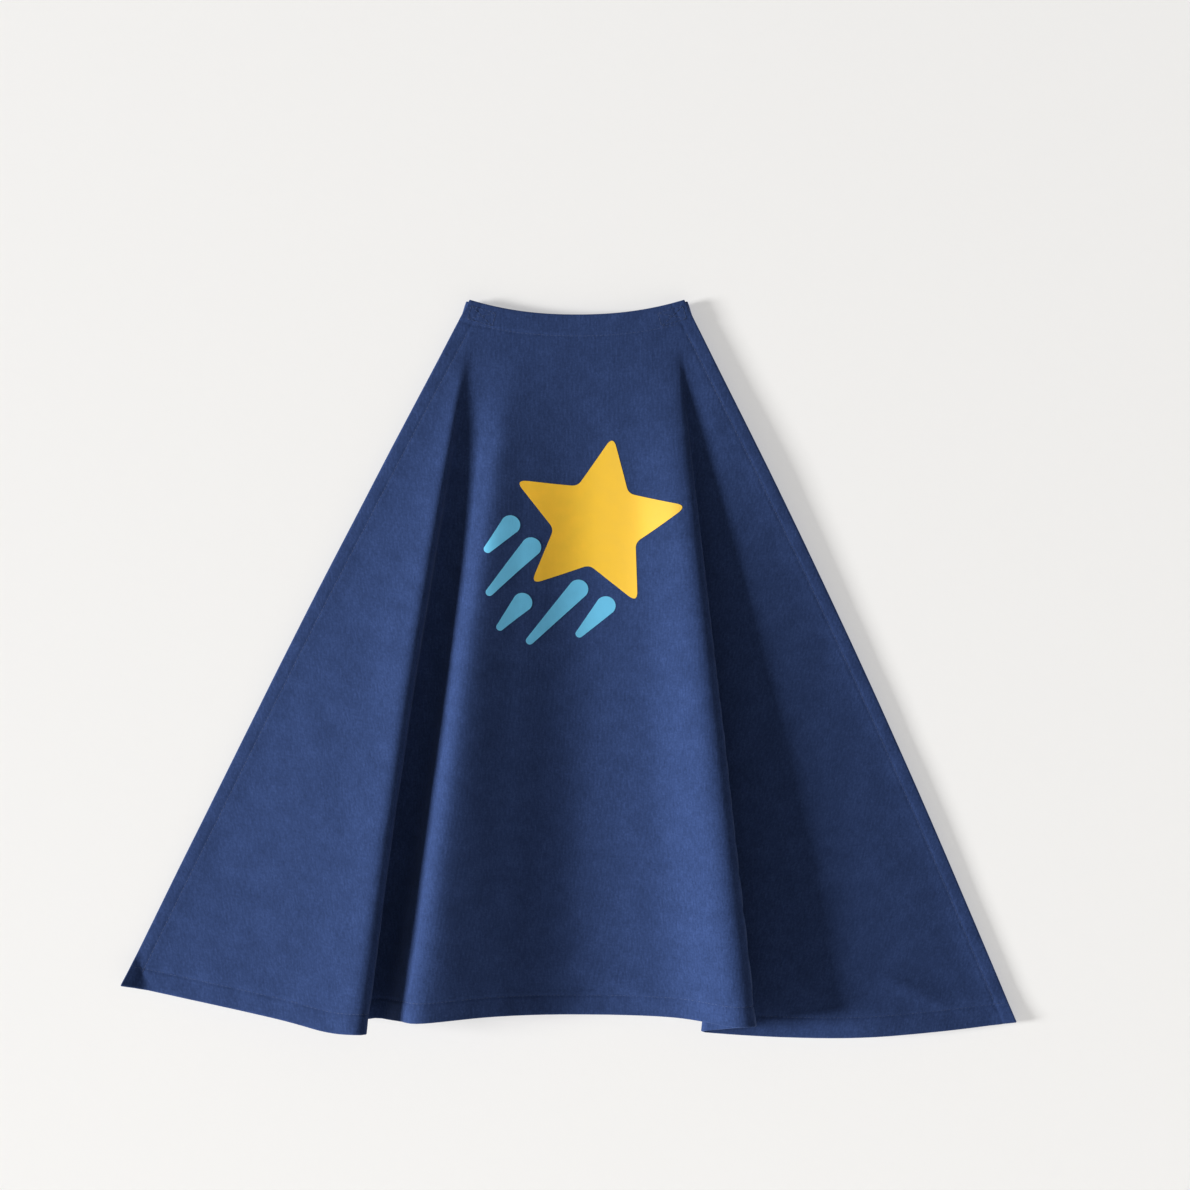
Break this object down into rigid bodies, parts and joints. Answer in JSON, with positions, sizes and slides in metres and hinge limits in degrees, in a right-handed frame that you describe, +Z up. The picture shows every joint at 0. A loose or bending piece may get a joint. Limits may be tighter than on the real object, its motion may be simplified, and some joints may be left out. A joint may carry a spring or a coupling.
{
  "type": "child's dress-up cape",
  "caption": "Flared cloth cape that hangs in soft folds from a curved neckline, with folding closing tabs and a printed star.",
  "frame": {"origin": "middle of the neckline's edge, in the thickness of the cloth, at mount neckline", "axes": "+Z up, as the cape hangs; +X to the right across the printed face as it is seen; -Y out of the printed face, so the wearer or the wall is on the +Y side"},
  "size_m": [0.6684, 0.0465, 0.5505],
  "materials": {
    "navy_cotton": "matt dense cotton with a fine vertical grain",
    "navy_thread": "fine polyester sewing thread",
    "hook_tape": "stiff nylon hooks",
    "loop_tape": "brushed nylon loops",
    "yellow_ink": "smooth satin screen print",
    "blue_ink": "smooth satin screen print"
  },
  "bodies": {
    "cape": {"cape_panel": "navy_cotton", "neck_facing": "navy_cotton", "left_tab_root": "navy_cotton", "right_tab_root": "navy_cotton", "neckline_topstitch": "navy_thread", "left_side_topstitch": "navy_thread", "right_side_topstitch": "navy_thread", "bottom_hem_topstitch": "navy_thread", "left_tab_box_stitch": "navy_thread", "right_tab_box_stitch": "navy_thread", "star_print": "yellow_ink", "streak_print_1": "blue_ink", "streak_print_2": "blue_ink", "streak_print_3": "blue_ink", "streak_print_4": "blue_ink", "streak_print_5": "blue_ink"},
    "left_closing_tab": {"left_tab": "navy_cotton", "hook_patch": "hook_tape"},
    "right_closing_tab": {"right_tab": "navy_cotton", "loop_patch": "loop_tape"}
  },
  "joints": [
    {"name": "left_tab_swing", "type": "hinge", "parent": "cape", "child": "left_closing_tab", "pos_m": [-0.08346, 0.00335, 0.00286], "axis": [0.2895, 0, 0.9572], "range_deg": [0, 180]},
    {"name": "right_tab_swing", "type": "hinge", "parent": "cape", "child": "right_closing_tab", "pos_m": [0.08346, 0.00335, 0.00286], "axis": [0.2895, 0, -0.9572], "range_deg": [0, 180]}
  ]
}
